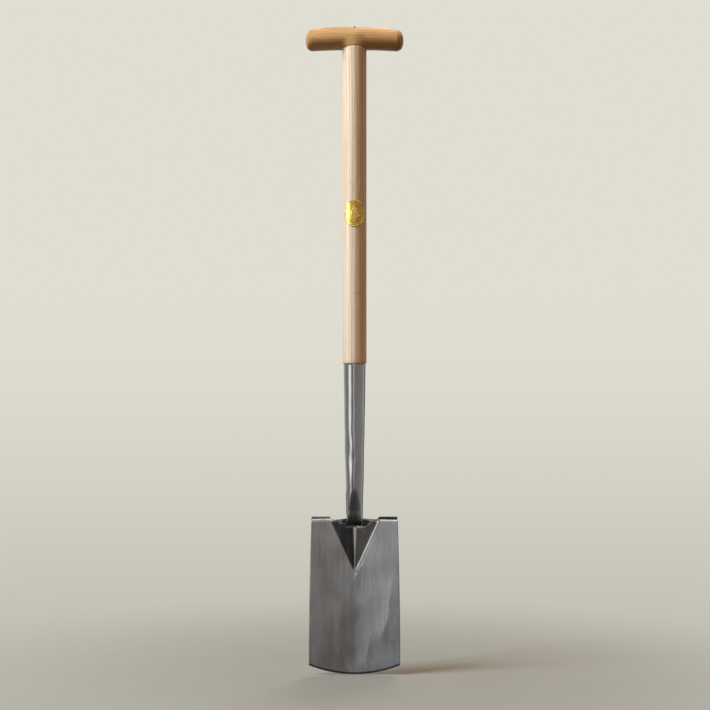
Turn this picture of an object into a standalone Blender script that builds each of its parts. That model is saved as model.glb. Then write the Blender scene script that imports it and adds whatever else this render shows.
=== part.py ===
"""Garden spade: a treaded stainless blade and socket, an ash shaft and a wedged T grip.

Metres, +Z up along the shaft. The origin is on the shaft's axis, level with the lowest point of the
cutting edge. The blade's dished front, the side with the gutter, faces -Y.
"""

import math

import bmesh
import bpy
from mathutils import Matrix, Vector

GAP = 0.0003  # clearance between pieces that touch

# Blade: one dished sheet, with a gutter pressed into its top and a tread folded back on each side.
SHEET = 0.0025
BLADE_Y = -0.0102  # front face of the sheet on the centre line, clear of the gutter
DISH_RADIUS = 0.600
EDGE_ARC_RADIUS = 0.192
HALF_WIDTH_FOOT = 0.0764
HALF_WIDTH_TOP = 0.0726
RIM_Z = 0.2573  # the sheet's top between the treads
GROUND_EDGE = 0.008  # height of the sharpened strip
EDGE_THICKNESS = 0.3  # share of the sheet left at the cutting edge

GUTTER_TIP_Z = 0.1689
GUTTER_HALF_WIDTH = 0.0402
GUTTER_SLOPE = 0.686
GUTTER_FLOOR = 0.0042  # half-width of the flat floor at the top
GUTTER_BEND = 0.003  # how far the bends at the walls' edges reach, in depth
NARROWEST = 0.20  # the grid never gets narrower than this share of the gutter's top

TREAD_START = 0.0010  # the treads begin this far outside the gutter
TREAD_RISE = math.radians(8)
TREAD_BEND_RADIUS = 0.004
TREAD_BACK_Y = 0.0070
TREAD_BEND_Z = 0.2579  # where the face starts to bend back, on the centre line
BEND_STEPS = 4

# Socket: a conical tube whose lower end is ground off to a nose in the gutter.
WALL = 0.0020
MOUTH_Z = 0.5224
MOUTH_RADIUS = 0.0186
WAIST_Z = 0.411
WAIST_RADIUS = 0.0172
NECK_Z = 0.276
NECK_RADIUS = 0.0140
BORE_END_Z = 0.300
SOCKET_END_Z = 0.2455
NOSE_HEIGHT = 0.0295
NOSE_DEPTH = 0.0285
NOSE_Y = 0.0145

WELD_LEG = 0.0030
WELD_ARC = math.radians(116)

RIVET_Z = 0.5020
RIVET_RADIUS = 0.0022
RIVET_LENGTH = 0.024
RIVET_HEAD_RADIUS = 0.0042
RIVET_HEAD_HEIGHT = 0.0022

# Shaft: tapered tenon, plain round, turned tenon.
SHAFT_RADIUS = 0.02025
SHAFT_TENON_END_Z = 0.312
SHAFT_SHOULDER_Z = 1.058
SHOULDER_ROUND = 0.0020
GRIP_TENON_RADIUS = 0.013

# Grip: a slightly arched bar with a collar that carries it on the shaft.
GRIP_Z = 1.0728
GRIP_RADIUS = 0.0200
GRIP_END_RADIUS = 0.0185
GRIP_HALF_LENGTH = 0.0828
GRIP_DROP = 0.0045  # how far the bar's ends hang below its middle
GRIP_ROUND_START = 0.0720
GRIP_FACE_START = 0.0735
GRIP_FACE_RADIUS = 0.0172
COLLAR_RADIUS = 0.0214
COLLAR_STRAIGHT = 0.006
COLLAR_DOME = 0.026

WEDGE_DEPTH = 0.024
WEDGE_TOP = 0.0034
WEDGE_TIP = 0.0009
WEDGE_HALF_WIDTH = 0.0126

# Badge: an oval plate bent round the shaft, held by two pins.
BADGE_Z = 0.7754
BADGE_HALF_HEIGHT = 0.0223
BADGE_HALF_ANGLE = math.radians(51.5)
BADGE_THICKNESS = 0.0009
PIN_ANGLE = math.radians(45.8)
PIN_RADIUS = 0.0006
PIN_LENGTH = 0.009
PIN_HEAD_RADIUS = 0.0012
PIN_HEAD_HEIGHT = 0.0007

ROUND_STEPS = 48
SMOOTH_ANGLE = math.radians(32)


def clear_scene():
    for obj in list(bpy.data.objects):
        bpy.data.objects.remove(obj, do_unlink=True)


def collection(name):
    made = bpy.data.collections.new(name)
    bpy.context.scene.collection.children.link(made)
    return made


def material(name, colour, roughness, metallic=0.0):
    made = bpy.data.materials.new(name)
    made.use_nodes = True
    shader = made.node_tree.nodes["Principled BSDF"]
    shader.inputs["Base Color"].default_value = (*colour, 1.0)
    shader.inputs["Roughness"].default_value = roughness
    shader.inputs["Metallic"].default_value = metallic
    return made


def add_object(name, bm, group):
    """The bmesh as a new object in the group."""
    mesh = bpy.data.meshes.new(name)
    bm.to_mesh(mesh)
    bm.free()
    obj = bpy.data.objects.new(name, mesh)
    group.objects.link(obj)
    return obj


def finish(obj, finish_material):
    obj.data.materials.append(finish_material)
    obj.data.shade_smooth()
    obj.data.set_sharp_from_angle(angle=SMOOTH_ANGLE)
    return obj


def hide(cutter):
    cutter.hide_render = True
    cutter.display_type = "WIRE"
    return cutter


def boolean(obj, operand, operation):
    modifier = obj.modifiers.new(f"{operation.lower()}_{operand.name}", "BOOLEAN")
    modifier.operation = operation
    modifier.object = operand
    modifier.solver = "EXACT"


def turned(name, profile, group, steps=ROUND_STEPS):
    """A solid turned about Z. The profile is (radius, z) from the top of the axis down the outside."""
    bm = bmesh.new()
    points = [bm.verts.new((radius, 0, z)) for radius, z in profile]
    for upper, lower in zip(points, points[1:]):
        bm.edges.new((upper, lower))
    obj = add_object(name, bm, group)
    screw = obj.modifiers.new("turn", "SCREW")
    screw.steps = steps
    screw.render_steps = steps
    screw.use_merge_vertices = True
    screw.merge_threshold = 0.00001
    return obj


def cylinder(name, radius, start, end, group, steps=ROUND_STEPS):
    """A closed cylinder from one point to another."""
    start, end = Vector(start), Vector(end)
    axis = end - start
    bm = bmesh.new()
    bmesh.ops.create_cone(
        bm, cap_ends=True, segments=steps, radius1=radius, radius2=radius, depth=axis.length
    )
    turn = axis.to_track_quat("Z", "Y").to_matrix().to_4x4()
    bmesh.ops.transform(bm, matrix=Matrix.Translation((start + end) / 2) @ turn, verts=bm.verts)
    return add_object(name, bm, group)


def arc(centre_r, centre_z, radius_r, radius_z, start, end, steps):
    """Points (r, z) along an elliptical arc, angles in degrees from +r towards +z."""
    angles = [math.radians(start + (end - start) * i / steps) for i in range(steps + 1)]
    return [
        (centre_r + radius_r * math.cos(a), centre_z + radius_z * math.sin(a)) for a in angles
    ]


def smooth_max(a, b, reach):
    return max(a, b) + max(reach - abs(a - b), 0) ** 2 / (4 * reach)


def smooth_min(a, b, reach):
    return min(a, b) - max(reach - abs(a - b), 0) ** 2 / (4 * reach)


def gutter_width(z):
    """Half-width of the gutter, negative below its tip."""
    return GUTTER_HALF_WIDTH * (z - GUTTER_TIP_Z) / (RIM_Z - GUTTER_TIP_Z)


def blade_front(x, z):
    """y of the blade's front face, without the treads."""
    half = gutter_width(z)
    wall = GUTTER_SLOPE * (half - abs(x))
    floor = GUTTER_SLOPE * half * (1 - GUTTER_FLOOR / GUTTER_HALF_WIDTH)
    depth = smooth_max(0, smooth_min(wall, floor, GUTTER_BEND), GUTTER_BEND)
    return BLADE_Y - x * x / (2 * DISH_RADIUS) + depth


def blade_columns(z):
    """x of the grid's columns from the centre line out, packed closer at the gutter's bends."""
    share = max(gutter_width(z) / GUTTER_HALF_WIDTH, NARROWEST)
    half = GUTTER_HALF_WIDTH * share
    floor = GUTTER_FLOOR * share
    wall_foot = floor + GUTTER_BEND * share
    wall_head = half - 0.004 * share
    rise = min(z / TREAD_BEND_Z, 1)
    side = HALF_WIDTH_FOOT + (HALF_WIDTH_TOP - HALF_WIDTH_FOOT) * rise**2
    start = half + TREAD_START * share
    outer = half + 0.005 * share
    inner = [0, 0.7 * floor, 1.3 * floor, wall_foot + 0.001 * share]
    walls = [wall_foot + (wall_head - wall_foot) * i / 3 for i in (1, 2, 3)]
    sides = [outer + (side - outer) * i / 5 for i in range(6)]
    return inner + walls + [half - 0.0015 * share, start] + sides


def tread_point(x, step):
    """A point of the tread's top face: around its bend, and for the last step its back edge."""
    tread_plane = TREAD_BEND_Z + TREAD_BEND_RADIUS / math.cos(TREAD_RISE)
    face_y = BLADE_Y - x * x / (2 * DISH_RADIUS)
    centre_y = face_y + TREAD_BEND_RADIUS
    slope = math.tan(TREAD_RISE)
    centre_z = TREAD_BEND_Z + slope * (centre_y - BLADE_Y - TREAD_BEND_RADIUS)
    if step > BEND_STEPS:
        return TREAD_BACK_Y, tread_plane + slope * (TREAD_BACK_Y - BLADE_Y - TREAD_BEND_RADIUS)
    turn = (math.pi / 2 - TREAD_RISE) * step / BEND_STEPS
    return (
        centre_y - TREAD_BEND_RADIUS * math.cos(turn),
        centre_z + TREAD_BEND_RADIUS * math.sin(turn),
    )


def blade_rows():
    """Heights of the grid's rows: the ground edge, the plain blade, the gutter."""
    plain = [GROUND_EDGE + (GUTTER_TIP_Z - 0.012 - GROUND_EDGE) * i / 6 for i in range(7)]
    gutter = [GUTTER_TIP_Z + (RIM_Z - GUTTER_TIP_Z) * i / 12 for i in range(13)]
    return [0.0] + plain + gutter


def blade(group, steel):
    rows = blade_rows()
    half_columns = len(blade_columns(RIM_Z)) - 1
    tread_column = len(blade_columns(RIM_Z)) - 7
    across, up = 2 * half_columns, len(rows) + BEND_STEPS
    bm = bmesh.new()
    bmesh.ops.create_grid(bm, x_segments=across, y_segments=up, size=1)
    spare = []
    sharpened = []
    for vert in bm.verts:
        column = round((vert.co.x + 1) / 2 * across) - half_columns
        row = round((vert.co.y + 1) / 2 * up)
        height = rows[min(row, len(rows) - 1)]
        x = math.copysign(blade_columns(height)[abs(column)], column)
        if row >= len(rows):
            y, z = tread_point(x, row - len(rows) + 1)
            if abs(column) < tread_column:
                spare.append(vert)
        else:
            arc_z = EDGE_ARC_RADIUS - math.sqrt(EDGE_ARC_RADIUS**2 - x * x)
            z = height + arc_z * (1 - height / RIM_Z)
            if row == len(rows) - 1 and abs(column) >= tread_column:
                z = tread_point(x, 0)[1]
            y = blade_front(x, z)
        if row == 0:
            sharpened.append(vert)
        vert.co = (x, y, z)
    bm.verts.index_update()
    edge_indices = [vert.index for vert in sharpened]
    all_indices = [vert.index for vert in bm.verts]
    bmesh.ops.delete(bm, geom=spare, context="VERTS")
    obj = add_object("blade", bm, group)
    return thicken(obj, edge_indices, all_indices, steel)


def thicken(obj, edge_indices, all_indices, steel):
    """Gives the sheet its thickness behind the front face, thinned at the cutting edge."""
    stock = obj.vertex_groups.new(name="stock")
    stock.add([i for i in all_indices if i < len(obj.data.vertices)], 1.0, "REPLACE")
    stock.add(edge_indices, 0.0, "REPLACE")
    solidify = obj.modifiers.new("sheet", "SOLIDIFY")
    solidify.thickness = SHEET
    solidify.offset = -1
    solidify.use_even_offset = True
    solidify.vertex_group = stock.name
    solidify.thickness_vertex_group = EDGE_THICKNESS
    return finish(obj, steel)


def outer_socket_radius(z):
    """The socket's outside: a slow taper from the mouth to the waist, a quicker one to the neck."""
    if z > WAIST_Z:
        share = (z - WAIST_Z) / (MOUTH_Z - WAIST_Z)
        return WAIST_RADIUS + (MOUTH_RADIUS - WAIST_RADIUS) * share
    share = max(z - NECK_Z, 0) / (WAIST_Z - NECK_Z)
    return NECK_RADIUS + (WAIST_RADIUS - NECK_RADIUS) * share


def nose_cutter(cutters):
    """All that lies in front of the nose: a box less a cylinder of elliptical section."""
    bm = bmesh.new()
    bmesh.ops.create_cube(bm, size=1)
    size = Vector((0.06, 0.06, 0.06))
    middle = Vector((0, NOSE_Y - size.y / 2, NECK_Z - size.z / 2))
    bmesh.ops.transform(
        bm, matrix=Matrix.Translation(middle) @ Matrix.Diagonal(size).to_4x4(), verts=bm.verts
    )
    box = hide(add_object("nose_cutter", bm, cutters))
    round_bar = cylinder("nose_round", 1.0, (-0.04, 0, 0), (0.04, 0, 0), cutters, 96)
    squash = Matrix.Diagonal((1, NOSE_DEPTH, NOSE_HEIGHT, 1))
    round_bar.data.transform(Matrix.Translation((0, NOSE_Y, NECK_Z)) @ squash)
    boolean(box, hide(round_bar), "DIFFERENCE")
    return box


def gutter_cutter(cutters):
    """The space that the blade's gutter fills, with clearance in front of it."""
    across, up = 24, 12
    half, low = 0.024, SOCKET_END_Z - 0.005
    bm = bmesh.new()
    bmesh.ops.create_grid(bm, x_segments=across, y_segments=up, size=1)
    for vert in bm.verts:
        x = half * vert.co.x
        z = low + (RIM_Z + GAP - low) * (vert.co.y + 1) / 2
        vert.co = (x, blade_front(x, z) - 1.5 * GAP, z)
    pushed = bmesh.ops.extrude_face_region(bm, geom=list(bm.faces))["geom"]
    for element in pushed:
        if isinstance(element, bmesh.types.BMVert):
            element.co.y = 0.04
    bmesh.ops.recalc_face_normals(bm, faces=bm.faces)
    return hide(add_object("gutter_cutter", bm, cutters))


def socket(group, cutters, steel):
    outside = [MOUTH_Z, WAIST_Z, NECK_Z, SOCKET_END_Z]
    inside = [BORE_END_Z, WAIST_Z, MOUTH_Z]
    profile = [(0, BORE_END_Z)]
    profile += [(outer_socket_radius(z) - WALL, z) for z in inside]
    profile += [(outer_socket_radius(z), z) for z in outside]
    profile += [(0, SOCKET_END_Z)]
    obj = turned("socket", profile, group)
    boolean(obj, nose_cutter(cutters), "DIFFERENCE")
    boolean(obj, gutter_cutter(cutters), "DIFFERENCE")
    hole = cylinder(
        "rivet_hole_socket", RIVET_RADIUS + GAP, (0, 0.006, RIVET_Z), (0, 0.03, RIVET_Z), cutters, 24
    )
    boolean(obj, hide(hole), "DIFFERENCE")
    return finish(obj, steel)


def socket_weld(group, steel):
    """The bead at the back, in the corner between the socket and the gutter's rim."""
    foot_z = RIM_Z + GAP
    foot_r = NECK_RADIUS + GAP
    section = [(foot_r, foot_z), (foot_r + WELD_LEG, foot_z)]
    section += arc(foot_r, foot_z, WELD_LEG, WELD_LEG, 22, 68, 3)
    section += [(foot_r, foot_z + WELD_LEG)]
    start = math.pi / 2 - WELD_ARC / 2
    bm = bmesh.new()
    corners = [
        bm.verts.new((r * math.cos(start), r * math.sin(start), z)) for r, z in section
    ]
    bm.faces.new(corners)
    bmesh.ops.spin(
        bm, geom=list(bm.faces), cent=(0, 0, 0), axis=(0, 0, 1), angle=WELD_ARC, steps=14
    )
    bmesh.ops.recalc_face_normals(bm, faces=bm.faces)
    return finish(add_object("socket_weld", bm, group), steel)


def headed_pin(name, head_radius, head_height, shank_radius, shank_length, seat, direction, group):
    """A domed head on a shank that runs back from the seat, against the direction."""
    head = arc(0, 0, head_radius, head_height, 90, 0, 5)
    profile = head + [(shank_radius, 0), (shank_radius, -shank_length), (0, -shank_length)]
    obj = turned(name, profile, group, 24)
    obj.location = Vector(seat)
    obj.rotation_euler = Vector(direction).to_track_quat("Z", "Y").to_euler()
    return obj


def rivet_seat():
    return (0, outer_socket_radius(RIVET_Z) + GAP, RIVET_Z)


def socket_rivet(group, steel):
    obj = headed_pin(
        "socket_rivet", RIVET_HEAD_RADIUS, RIVET_HEAD_HEIGHT, RIVET_RADIUS, RIVET_LENGTH,
        rivet_seat(), (0, 1, 0), group,
    )
    return finish(obj, steel)


def grip_top_cutter(cutters):
    """All that lies above the bar's round top, a gap below its surface."""
    bm = bmesh.new()
    bmesh.ops.create_cube(bm, size=1)
    size = Vector((0.05, 0.06, 0.06))
    middle = Vector((0, 0, GRIP_Z + size.z / 2))
    bmesh.ops.transform(
        bm, matrix=Matrix.Translation(middle) @ Matrix.Diagonal(size).to_4x4(), verts=bm.verts
    )
    box = hide(add_object("grip_top_cutter", bm, cutters))
    bar = cylinder(
        "grip_top_round", GRIP_RADIUS - GAP, (-0.04, 0, GRIP_Z), (0.04, 0, GRIP_Z), cutters, 64
    )
    boolean(box, hide(bar), "DIFFERENCE")
    return box


def wedge_shape(name, half_width, grow, group):
    """A tapered slip, thin end down, its thickness along X."""
    top_z = GRIP_Z + GRIP_RADIUS + 0.002
    tip_z = GRIP_Z + GRIP_RADIUS - WEDGE_DEPTH - 2 * grow
    bm = bmesh.new()
    bmesh.ops.create_cube(bm, size=2)
    for vert in bm.verts:
        thickness = WEDGE_TOP if vert.co.z > 0 else WEDGE_TIP
        z = top_z if vert.co.z > 0 else tip_z
        vert.co = (vert.co.x * (thickness / 2 + grow), vert.co.y * half_width, z)
    return add_object(name, bm, group)


def shaft(group, cutters, ash):
    shoulder_low = MOUTH_Z + GAP
    tenon_bottom = outer_socket_radius(SHAFT_TENON_END_Z) - WALL - GAP
    tenon_waist = outer_socket_radius(WAIST_Z) - WALL - GAP
    tenon_mouth = outer_socket_radius(MOUTH_Z) - WALL - GAP
    top_z = GRIP_Z + GRIP_RADIUS + 0.003
    profile = [(0, top_z), (GRIP_TENON_RADIUS, top_z), (GRIP_TENON_RADIUS, SHAFT_SHOULDER_Z)]
    profile += [(SHAFT_RADIUS, SHAFT_SHOULDER_Z)]
    profile += arc(
        SHAFT_RADIUS - SHOULDER_ROUND, shoulder_low + SHOULDER_ROUND,
        SHOULDER_ROUND, SHOULDER_ROUND, 0, -90, 4,
    )
    profile += [(tenon_mouth, shoulder_low), (tenon_waist, WAIST_Z)]
    profile += [(tenon_bottom, SHAFT_TENON_END_Z), (0, SHAFT_TENON_END_Z)]
    obj = turned("shaft", profile, group)
    rivet_end = rivet_seat()[1] - RIVET_LENGTH - GAP
    holes = [
        cylinder(
            "rivet_hole_shaft", RIVET_RADIUS + GAP, (0, rivet_end, RIVET_Z), (0, 0.03, RIVET_Z),
            cutters, 24,
        ),
        pin_hole("pin_hole_left", -PIN_ANGLE, cutters),
        pin_hole("pin_hole_right", PIN_ANGLE, cutters),
        wedge_shape("kerf_cutter", 2 * GRIP_TENON_RADIUS, GAP, cutters),
    ]
    for hole in holes:
        boolean(obj, hide(hole), "DIFFERENCE")
    boolean(obj, bpy.data.objects["grip_top_cutter"], "DIFFERENCE")
    return finish(obj, ash)


def arch(x):
    """How far the bar's centre line hangs below its middle at x."""
    return GRIP_DROP * (x / GRIP_HALF_LENGTH) ** 2


def grip_radius(x):
    return GRIP_RADIUS + (GRIP_END_RADIUS - GRIP_RADIUS) * (x / GRIP_ROUND_START) ** 2


def t_grip(group, cutters, cherry):
    half_arm = [GRIP_ROUND_START * i / 6 for i in range(7)]
    outline = [(grip_radius(x), x) for x in reversed(half_arm)]
    shoulder = arc(
        GRIP_FACE_RADIUS, GRIP_ROUND_START, GRIP_END_RADIUS - GRIP_FACE_RADIUS,
        GRIP_FACE_START - GRIP_ROUND_START, 90, 0, 3,
    )
    face = arc(
        0, GRIP_FACE_START, GRIP_FACE_RADIUS, GRIP_HALF_LENGTH - GRIP_FACE_START, 90, 0, 8
    )
    upper = face + shoulder[1:] + outline[1:]
    lower = [(radius, -z) for radius, z in reversed(upper[:-1])]
    blank = turned("grip_blank", upper + lower, cutters, 40)
    evaluated = blank.evaluated_get(bpy.context.evaluated_depsgraph_get())
    mesh = bpy.data.meshes.new_from_object(evaluated)
    bpy.data.objects.remove(blank, do_unlink=True)
    mesh.transform(Matrix.Rotation(math.pi / 2, 4, "Y"))
    for vert in mesh.vertices:
        vert.co.z += GRIP_Z - arch(vert.co.x)
    obj = bpy.data.objects.new("t_grip", mesh)
    group.objects.link(obj)
    boolean(obj, collar(cutters), "UNION")
    below = SHAFT_SHOULDER_Z - 0.03
    bore = cylinder("tenon_bore", GRIP_TENON_RADIUS + GAP, (0, 0, below), (0, 0, 1.2), cutters)
    seat_top = (0, 0, SHAFT_SHOULDER_Z + GAP)
    seat = cylinder("shaft_seat", SHAFT_RADIUS + GAP, (0, 0, below), seat_top, cutters)
    boolean(obj, hide(bore), "DIFFERENCE")
    boolean(obj, hide(seat), "DIFFERENCE")
    return finish(obj, cherry)


def collar(cutters):
    """The turned collar under the bar's middle, domed where it runs into the bar."""
    low = SHAFT_SHOULDER_Z
    dome_z = low + COLLAR_STRAIGHT
    profile = arc(0, dome_z, COLLAR_RADIUS, COLLAR_DOME, 90, 0, 8)
    profile += [(COLLAR_RADIUS, low), (0, low)]
    return hide(turned("collar", profile, cutters))


def grip_wedge(group, walnut):
    obj = wedge_shape("grip_wedge", WEDGE_HALF_WIDTH, 0, group)
    boolean(obj, bpy.data.objects["grip_top_cutter"], "DIFFERENCE")
    return finish(obj, walnut)


def pin_direction(angle):
    return Vector((math.sin(angle), -math.cos(angle), 0))


def badge_outside():
    """Radius of the badge's outer face."""
    return SHAFT_RADIUS + GAP + BADGE_THICKNESS


def pin_hole(name, angle, cutters):
    direction = pin_direction(angle)
    middle = Vector((0, 0, BADGE_Z))
    start = middle + direction * (badge_outside() - PIN_LENGTH - GAP)
    end = middle + direction * (badge_outside() + 0.004)
    return cylinder(name, PIN_RADIUS + GAP, start, end, cutters, 16)


def badge(group, cutters, brass):
    """An oval plate with a raised rim, wrapped round the front of the shaft."""
    cells = 16
    bm = bmesh.new()
    bmesh.ops.create_grid(bm, x_segments=cells, y_segments=cells, size=1)
    for vert in bm.verts:
        u, v = vert.co.x, vert.co.y
        across = u * math.sqrt(1 - v * v / 2)
        along = v * math.sqrt(1 - u * u / 2)
        angle = BADGE_HALF_ANGLE * across
        radius = SHAFT_RADIUS + GAP
        z = BADGE_Z + BADGE_HALF_HEIGHT * along
        vert.co = (radius * math.sin(angle), -radius * math.cos(angle), z)
    obj = add_object("badge", bm, group)
    plate = obj.modifiers.new("plate", "SOLIDIFY")
    plate.thickness = BADGE_THICKNESS
    plate.offset = 1
    for side in ("left", "right"):
        boolean(obj, bpy.data.objects[f"pin_hole_{side}"], "DIFFERENCE")
    return finish(obj, brass)


def badge_pin(name, angle, group, brass):
    direction = pin_direction(angle)
    seat = Vector((0, 0, BADGE_Z)) + direction * (badge_outside() + GAP)
    obj = headed_pin(
        name, PIN_HEAD_RADIUS, PIN_HEAD_HEIGHT, PIN_RADIUS, PIN_LENGTH, seat, direction, group
    )
    return finish(obj, brass)


def main():
    clear_scene()
    parts = collection("garden_spade")
    cutters = collection("cutters")
    satin_steel = material("satin_steel", (0.36, 0.36, 0.37), 0.32, 1.0)
    bright_steel = material("bright_steel", (0.45, 0.45, 0.45), 0.16, 1.0)
    ash = material("ash", (0.74, 0.58, 0.40), 0.42)
    cherry = material("cherry", (0.52, 0.27, 0.11), 0.32)
    walnut = material("walnut", (0.16, 0.09, 0.05), 0.5)
    brass = material("brass", (0.62, 0.44, 0.18), 0.34, 1.0)

    grip_top_cutter(cutters)
    blade(parts, satin_steel)
    socket(parts, cutters, bright_steel)
    socket_weld(parts, satin_steel)
    socket_rivet(parts, bright_steel)
    shaft(parts, cutters, ash)
    t_grip(parts, cutters, cherry)
    grip_wedge(parts, walnut)
    badge(parts, cutters, brass)
    badge_pin("badge_pin_left", -PIN_ANGLE, parts, brass)
    badge_pin("badge_pin_right", PIN_ANGLE, parts, brass)


main()
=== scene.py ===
"""The looks of the garden spade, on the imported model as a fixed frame.

Metres, +Z up along the shaft, the blade's dished front facing -Y. Each piece stands in for the CAD
node that it names. Outlines come from the nodes' boxes; what a box can't say, such as the gutter's
slope or the bends' radii, is named below as it is in the design.
"""

import math

import bpy
import numpy as np
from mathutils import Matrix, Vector


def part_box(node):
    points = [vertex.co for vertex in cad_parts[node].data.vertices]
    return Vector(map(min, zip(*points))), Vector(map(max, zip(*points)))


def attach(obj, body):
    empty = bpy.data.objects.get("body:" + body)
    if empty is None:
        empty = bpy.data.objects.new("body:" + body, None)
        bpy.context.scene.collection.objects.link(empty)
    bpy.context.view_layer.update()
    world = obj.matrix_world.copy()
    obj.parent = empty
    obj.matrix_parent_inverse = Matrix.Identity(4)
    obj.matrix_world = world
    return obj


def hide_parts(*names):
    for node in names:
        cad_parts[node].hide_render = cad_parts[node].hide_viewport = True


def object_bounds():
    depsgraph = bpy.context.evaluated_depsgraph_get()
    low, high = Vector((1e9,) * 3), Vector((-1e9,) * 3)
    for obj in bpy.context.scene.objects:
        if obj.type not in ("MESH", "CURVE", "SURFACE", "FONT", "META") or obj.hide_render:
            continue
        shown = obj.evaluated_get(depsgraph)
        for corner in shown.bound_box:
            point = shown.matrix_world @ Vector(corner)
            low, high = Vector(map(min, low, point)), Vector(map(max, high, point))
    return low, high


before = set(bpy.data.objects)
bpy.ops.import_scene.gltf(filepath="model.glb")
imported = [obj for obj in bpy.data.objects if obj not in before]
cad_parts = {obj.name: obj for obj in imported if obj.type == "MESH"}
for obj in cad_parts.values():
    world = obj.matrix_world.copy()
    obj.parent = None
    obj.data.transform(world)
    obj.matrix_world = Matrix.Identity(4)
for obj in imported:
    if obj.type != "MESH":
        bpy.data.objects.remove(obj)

CAD_BOX = [list(corner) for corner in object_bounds()]
NODE_BOXES = {node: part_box(node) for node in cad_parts}

# The blade's sheet, as designed.
SHEET = 0.0025
BLADE_Y = -0.0102
DISH_RADIUS = 0.600
EDGE_ARC_RADIUS = 0.192
HALF_WIDTH_TOP = 0.0726
RIM_Z = 0.2573
GROUND_EDGE = 0.008
EDGE_THICKNESS = 0.3
STONED = 0.0009  # how far the last 1.6 mm of the front face falls back
GUTTER_TIP_Z = 0.1689
GUTTER_HALF_WIDTH = 0.0402
GUTTER_SLOPE = 0.686
GUTTER_FLOOR = 0.0042
GUTTER_BEND = 0.003
TREAD_RISE = math.radians(8)
TREAD_BEND_RADIUS = 0.004
TREAD_BEND_Z = 0.2579
TREAD_BACK_Y = 0.0070
TREAD_FROM = 0.0330  # between these two the small lip turns into a full tread
TREAD_FULL = 0.0425
LIP_RADIUS = 0.0030
LIP_TURN = math.radians(75)

# The socket and its nose.
WAIST_Z = 0.411
WAIST_RADIUS = 0.0172
NECK_Z = 0.276
NECK_RADIUS = 0.0140
NOSE_HEIGHT = 0.0295
NOSE_DEPTH = 0.0285
NOSE_START_Z = 0.322  # the grind's shallow run-in starts here
NOSE_RUN_IN = 1.1
WELD_RADIUS = 0.0020
WELD_END_X = 0.0270

# The grip.
GRIP_Z = 1.0728
GRIP_RADIUS = 0.0197
GRIP_END_RADIUS = 0.0185
GRIP_DROP = 0.0045
GRIP_ROUND_START = 0.0720
GRIP_FACE_START = 0.0735
GRIP_FACE_RADIUS = 0.0172
COLLAR_LOW = 1.0581
COLLAR_RADIUS = 0.0209
COLLAR_TAPER_TOP = 1.074  # the collar narrows by COLLAR_TAPER up to here
COLLAR_TAPER = 0.0016
COLLAR_HIGH = 1.0770
COLLAR_BLEND = 0.0075
TENON_RADIUS = 0.013

# The badge.
BADGE_HALF_ANGLE = math.radians(51.5)
PIN_ANGLE = math.radians(45.8)
RIM_RELIEF = 0.00034
BEAD_RELIEF = 0.00016
SPRIG_RELIEF = 0.00034
LUG_RELIEF = 0.00020


def hi(node):
    return NODE_BOXES[node][1]


def smooth_min(a, b, reach):
    return np.minimum(a, b) - np.maximum(reach - np.abs(a - b), 0) ** 2 / (4 * reach)


def smooth_max(a, b, reach):
    return -smooth_min(-a, -b, reach)


def smooth_step(edge0, edge1, value):
    share = np.clip((value - edge0) / (edge1 - edge0), 0, 1)
    return share * share * (3 - 2 * share)


# ---------------------------------------------------------------- meshes


def new_piece(name, node, verts, faces, material):
    """A mesh piece that stands for a CAD node, which it hides, and takes the material that it is given.
    """
    mesh = bpy.data.meshes.new(name)
    mesh.from_pydata([tuple(map(float, v)) for v in verts], [], faces)
    mesh.validate()
    obj = bpy.data.objects.new(name, mesh)
    bpy.context.scene.collection.objects.link(obj)
    return dress(obj, node, material)


def dress(obj, node, material):
    obj.data.materials.clear()
    obj.data.materials.append(material)
    obj.data.shade_smooth()
    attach(obj, "root")
    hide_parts(node)
    return obj


def sharpen(obj, degrees):
    obj.data.set_sharp_from_angle(angle=math.radians(degrees))


def grid_faces(rows, columns, start=0, closed=False):
    """Quads of a grid of rows x columns points. closed joins each row's last point to its first."""
    faces = []
    for r in range(rows - 1):
        for c in range(columns if closed else columns - 1):
            d = (c + 1) % columns
            a, b = start + r * columns, start + (r + 1) * columns
            faces.append((a + c, a + d, b + d, b + c))
    return faces


def turned(profile, steps):
    """(verts, faces) of a closed solid turned about Z. The profile (r, z) runs down from the axis."""
    ring = profile[1:-1]
    verts = [(0, 0, profile[0][1])]
    for r, z in ring:
        for i in range(steps):
            turn = 2 * math.pi * i / steps
            verts.append((r * math.cos(turn), r * math.sin(turn), z))
    verts.append((0, 0, profile[-1][1]))
    last = len(verts) - 1
    faces = [(0, 1 + i, 1 + (i + 1) % steps) for i in range(steps)]
    faces += [tuple(reversed(f)) for f in grid_faces(len(ring), steps, 1, True)]
    base = 1 + (len(ring) - 1) * steps
    faces += [(last, base + (i + 1) % steps, base + i) for i in range(steps)]
    return verts, faces


def arc(centre_r, centre_z, radius_r, radius_z, start, end, steps):
    """Points (r, z) along an elliptical arc, angles in degrees from +r towards +z."""
    angles = [math.radians(start + (end - start) * i / steps) for i in range(steps + 1)]
    return [
        (centre_r + radius_r * math.cos(a), centre_z + radius_z * math.sin(a)) for a in angles
    ]


# ---------------------------------------------------------------- blade


def gutter_width(z):
    return GUTTER_HALF_WIDTH * (z - GUTTER_TIP_Z) / (RIM_Z - GUTTER_TIP_Z)


def sheet_front(x, z):
    """y of the sheet's front face, without the treads."""
    half = gutter_width(z)
    wall = GUTTER_SLOPE * (half - np.abs(x))
    floor = GUTTER_SLOPE * half * (1 - GUTTER_FLOOR / GUTTER_HALF_WIDTH)
    depth = smooth_max(0 * wall, smooth_min(wall, floor, GUTTER_BEND), GUTTER_BEND)
    return BLADE_Y - x * x / (2 * DISH_RADIUS) + depth


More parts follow.
